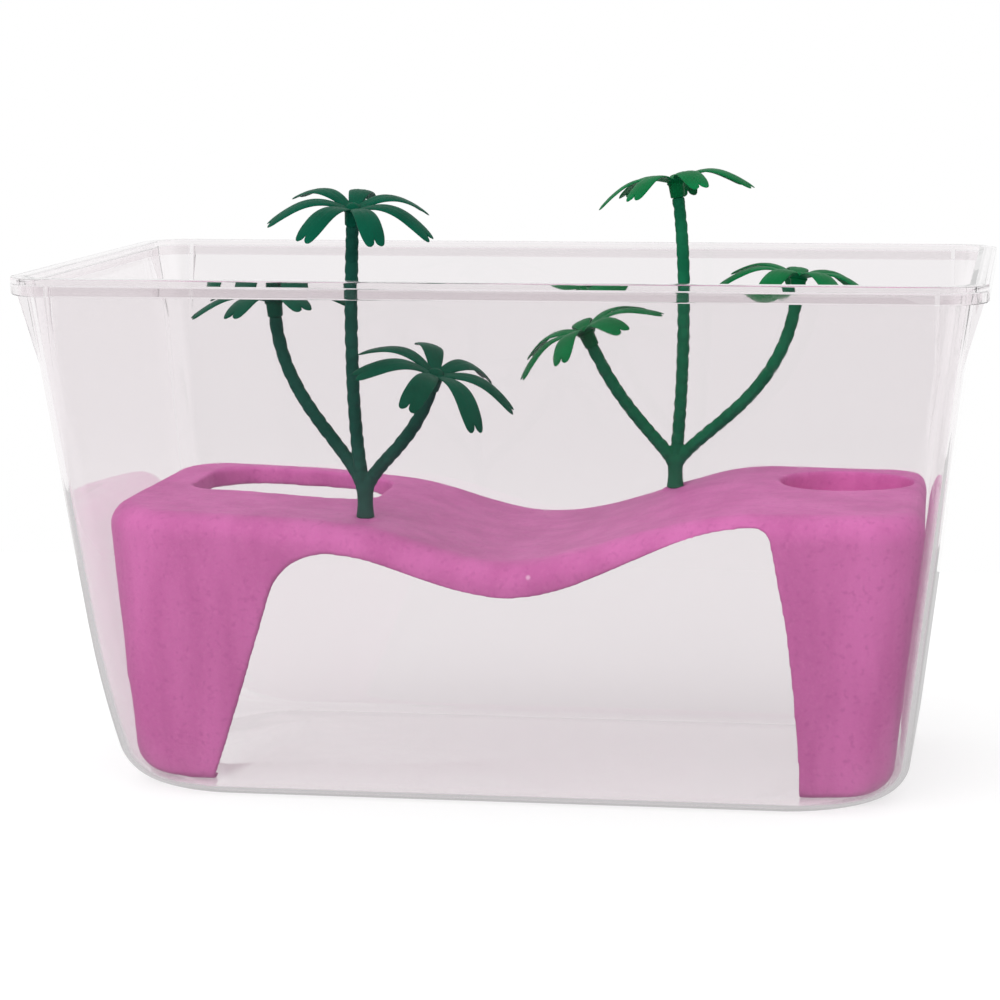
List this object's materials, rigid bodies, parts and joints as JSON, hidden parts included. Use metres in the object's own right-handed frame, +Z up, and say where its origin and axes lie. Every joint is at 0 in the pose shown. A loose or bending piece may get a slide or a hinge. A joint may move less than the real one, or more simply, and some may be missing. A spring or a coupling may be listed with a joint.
{
  "type": "plastic turtle tank",
  "caption": "Clear drafted plastic tub with a wavy moulded basking island, access hole, food dish and plug-in plastic palms with pull-off leaf crowns.",
  "frame": {"origin": "centre of the tank's flat underside, on the table", "axes": "+X to the right along the tank's length, +Y to the back, +Z up"},
  "size_m": [0.38, 0.22, 0.2451],
  "materials": {
    "tank_clear": "clear, glossy",
    "island_pink": "fine sandy grain, satin",
    "left_palm_green": "soft sheen",
    "right_palm_green": "soft sheen"
  },
  "bodies": {
    "tank": {"tank": "tank_clear"},
    "island": {"island": "island_pink"},
    "left_palm": {"left_palm_trunk": "left_palm_green"},
    "right_palm": {"right_palm_trunk": "right_palm_green"},
    "left_tall_crown": {"left_tall_crown": "left_palm_green"},
    "left_outer_crown": {"left_outer_crown": "left_palm_green"},
    "left_inner_crown": {"left_inner_crown": "left_palm_green"},
    "right_tall_crown": {"right_tall_crown": "right_palm_green"},
    "right_inner_crown": {"right_inner_crown": "right_palm_green"},
    "right_outer_crown": {"right_outer_crown": "right_palm_green"}
  },
  "joints": [
    {"name": "island_lift", "type": "slide", "parent": "tank", "child": "island", "axis": [0, 0, 1], "range_m": [0, 0.215]},
    {"name": "left_palm_pull", "type": "slide", "parent": "island", "child": "left_palm", "axis": [0, 0, 1], "range_m": [0, 0.02]},
    {"name": "right_palm_pull", "type": "slide", "parent": "island", "child": "right_palm", "axis": [0, 0, 1], "range_m": [0, 0.02]},
    {"name": "left_tall_crown_pull", "type": "slide", "parent": "left_palm", "child": "left_tall_crown", "axis": [0.0906, -0.2243, 0.9703], "range_m": [0, 0.012]},
    {"name": "left_outer_crown_pull", "type": "slide", "parent": "left_palm", "child": "left_outer_crown", "axis": [-0.0668, -0.056, 0.9962], "range_m": [0, 0.012]},
    {"name": "left_inner_crown_pull", "type": "slide", "parent": "left_palm", "child": "left_inner_crown", "axis": [0.3411, -0.2215, 0.9135], "range_m": [0, 0.012]},
    {"name": "right_tall_crown_pull", "type": "slide", "parent": "right_palm", "child": "right_tall_crown", "axis": [-0.1518, 0.0378, 0.9877], "range_m": [0, 0.012]},
    {"name": "right_inner_crown_pull", "type": "slide", "parent": "right_palm", "child": "right_inner_crown", "axis": [-0.4134, -0.0879, 0.9063], "range_m": [0, 0.012]},
    {"name": "right_outer_crown_pull", "type": "slide", "parent": "right_palm", "child": "right_outer_crown", "axis": [0.1022, 0.0217, 0.9945], "range_m": [0, 0.012]}
  ]
}
